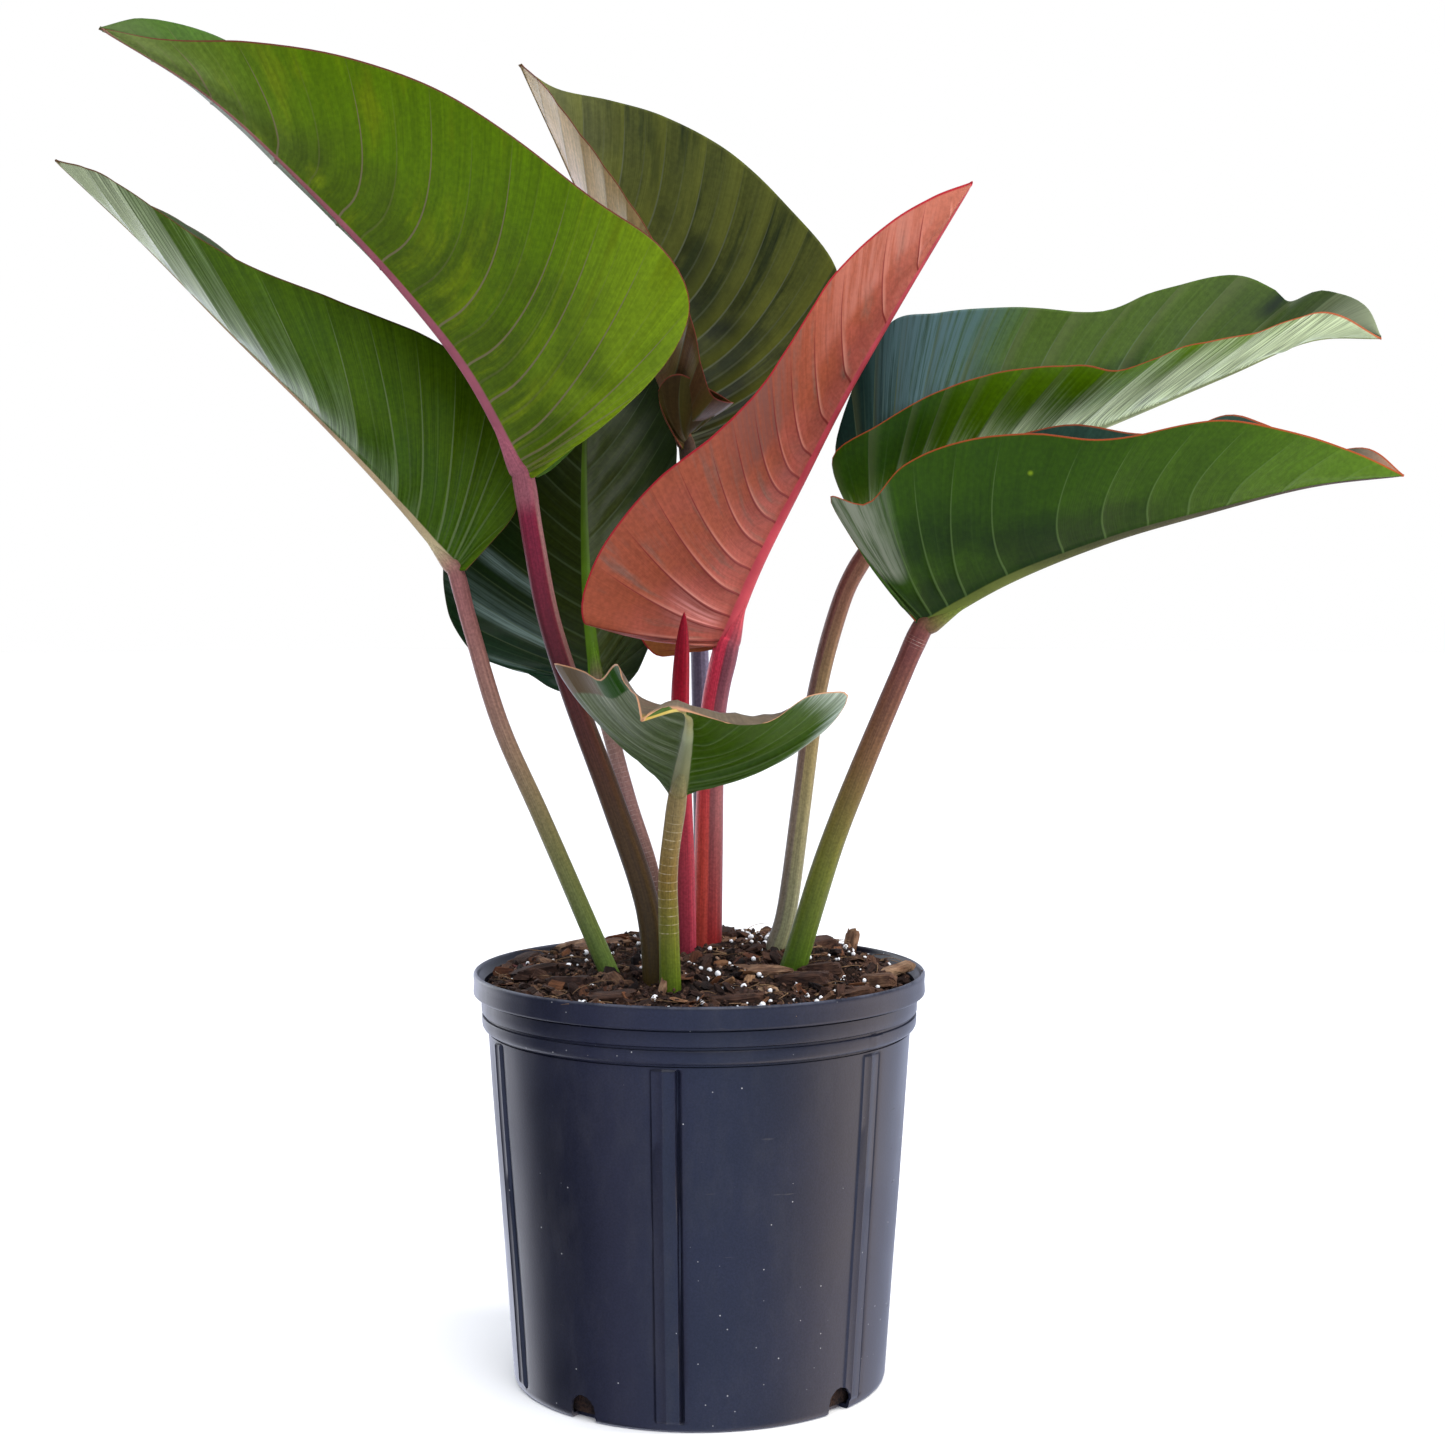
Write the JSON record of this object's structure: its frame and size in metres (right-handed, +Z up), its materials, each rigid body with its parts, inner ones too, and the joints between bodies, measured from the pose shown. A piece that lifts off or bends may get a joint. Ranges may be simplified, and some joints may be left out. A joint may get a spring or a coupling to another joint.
{
  "type": "potted red congo philodendron",
  "caption": "Potted foliage plant with large folded glossy leaves on long stalks, a new red leaf and a red bud sheath, in a black nursery pot.",
  "frame": {"origin": "middle of the pot's flat underside, on the surface it stands on", "axes": "+Z up, -Y toward the viewer of the plant's front, +X to that viewer's right"},
  "size_m": [0.7263, 0.3047, 0.7536],
  "materials": {
    "pot_plastic": "satin black with a faint sheen",
    "potting_mix": "rough bark and peat with white perlite",
    "leaf_green": "glossy leaf with a thin red margin",
    "leaf_bright": "glossy yellow-green leaf with a magenta rib",
    "leaf_olive": "glossy dark olive leaf with a tan underside",
    "leaf_dark": "glossy dark green leaf with a bright green rib",
    "leaf_red": "glossy coral-red new leaf",
    "stalk_mixed": "satin, green at the foot and reddish above",
    "stalk_red": "glossy crimson"
  },
  "bodies": {
    "root": {"pot": "pot_plastic", "potting_mix": "potting_mix", "blade_tall_left": "leaf_bright", "blade_low_left": "leaf_green", "blade_back_centre": "leaf_olive", "blade_back_low": "leaf_dark", "blade_new_red": "leaf_red", "blade_right_upper": "leaf_green", "blade_right_lower": "leaf_green", "blade_small_front": "leaf_green", "petiole_tall_left": "stalk_mixed", "petiole_low_left": "stalk_mixed", "petiole_back_centre": "stalk_mixed", "petiole_back_low": "stalk_mixed", "petiole_new_red": "stalk_red", "petiole_right_upper": "stalk_mixed", "petiole_right_lower": "stalk_mixed", "petiole_small_front": "stalk_mixed", "spear_red": "stalk_red"}
  },
  "joints": []
}
